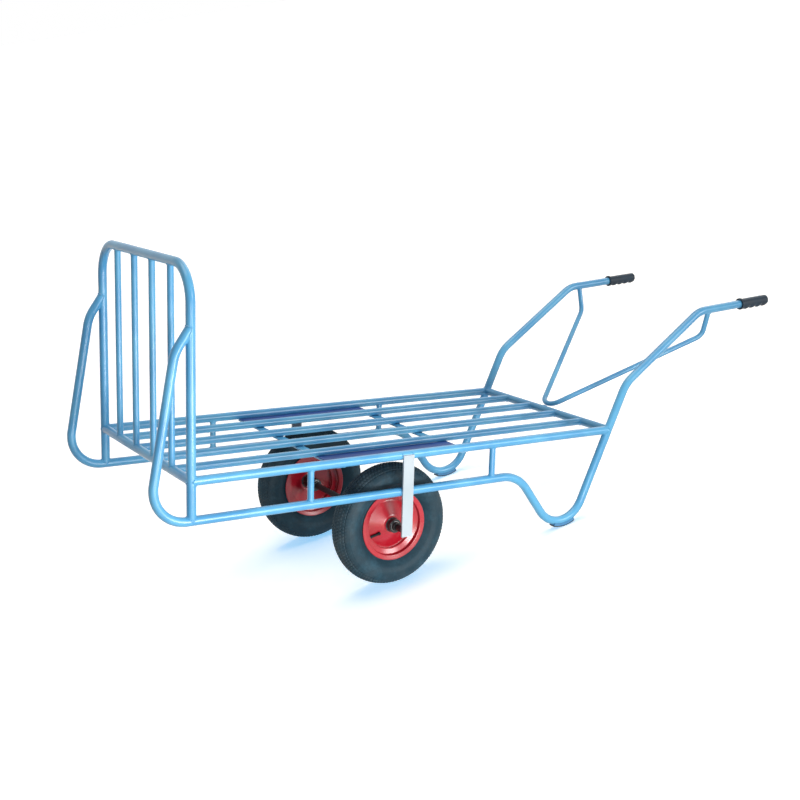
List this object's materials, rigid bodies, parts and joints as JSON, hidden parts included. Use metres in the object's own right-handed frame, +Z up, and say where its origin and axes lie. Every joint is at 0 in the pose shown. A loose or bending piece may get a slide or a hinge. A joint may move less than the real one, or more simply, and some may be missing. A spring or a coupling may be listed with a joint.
{
  "type": "market barrow",
  "caption": "Two-wheeled tubular steel barrow with a slatted deck, a barred headboard, stand feet and two long handles, on pneumatic wheels that roll on a fixed axle.",
  "frame": {"origin": "on the floor, under the centre of the parked barrow's bounding box", "axes": "+Z up, +X from the headboard towards the handles, +Y to the user's right"},
  "size_m": [2.4104, 0.7646, 1.1958],
  "materials": {
    "frame_paint": "glossy mid-blue powder coat",
    "guard_paint": "dark navy semi-gloss paint",
    "wheel_paint": "glossy red enamel",
    "shoe_steel": "dark painted steel, worn underneath",
    "bright_steel": "turned bright steel",
    "black_fittings": "black satin",
    "grip_rubber": "matt moulded rubber",
    "tube_rubber": "smooth black rubber",
    "tyre": "matt black tyre rubber with a fine block tread"
  },
  "bodies": {
    "frame": {"headboard_arch": "frame_paint", "headboard_bar_1": "frame_paint", "headboard_bar_2": "frame_paint", "headboard_bar_3": "frame_paint", "headboard_bar_4": "frame_paint", "front_crossbar": "frame_paint", "rear_crossbar": "frame_paint", "deck_bar_1": "frame_paint", "deck_bar_2": "frame_paint", "deck_bar_3": "frame_paint", "deck_bar_4": "frame_paint", "front_cross_tie": "frame_paint", "rear_cross_tie": "frame_paint", "handle_brace": "frame_paint", "axle": "black_fittings", "left_side_tube": "frame_paint", "left_side_rail": "frame_paint", "left_front_strut": "frame_paint", "left_rear_strut": "frame_paint", "left_axle_hanger": "frame_paint", "left_wheel_guard": "guard_paint", "left_foot_shoe": "shoe_steel", "left_grip": "grip_rubber", "left_inner_collar": "black_fittings", "left_outer_collar": "black_fittings", "right_side_tube": "frame_paint", "right_side_rail": "frame_paint", "right_front_strut": "frame_paint", "right_rear_strut": "frame_paint", "right_axle_hanger": "frame_paint", "right_wheel_guard": "guard_paint", "right_foot_shoe": "shoe_steel", "right_grip": "grip_rubber", "right_inner_collar": "black_fittings", "right_outer_collar": "black_fittings"},
    "left_wheel": {"left_tyre": "tyre", "left_inner_tube": "tube_rubber", "left_rim": "wheel_paint", "left_wheel_disc": "wheel_paint", "left_hub": "black_fittings", "left_inner_bearing": "bright_steel", "left_outer_bearing": "bright_steel", "left_valve": "tube_rubber"},
    "right_wheel": {"right_tyre": "tyre", "right_inner_tube": "tube_rubber", "right_rim": "wheel_paint", "right_wheel_disc": "wheel_paint", "right_hub": "black_fittings", "right_inner_bearing": "bright_steel", "right_outer_bearing": "bright_steel", "right_valve": "tube_rubber"}
  },
  "joints": [
    {"name": "left_wheel_spin", "type": "hinge", "parent": "frame", "child": "left_wheel", "pos_m": [-0.42544, -0.2685, 0.1989], "axis": [0, 1, 0], "continuous": true},
    {"name": "right_wheel_spin", "type": "hinge", "parent": "frame", "child": "right_wheel", "pos_m": [-0.42544, 0.2685, 0.1989], "axis": [0, 1, 0], "continuous": true}
  ]
}
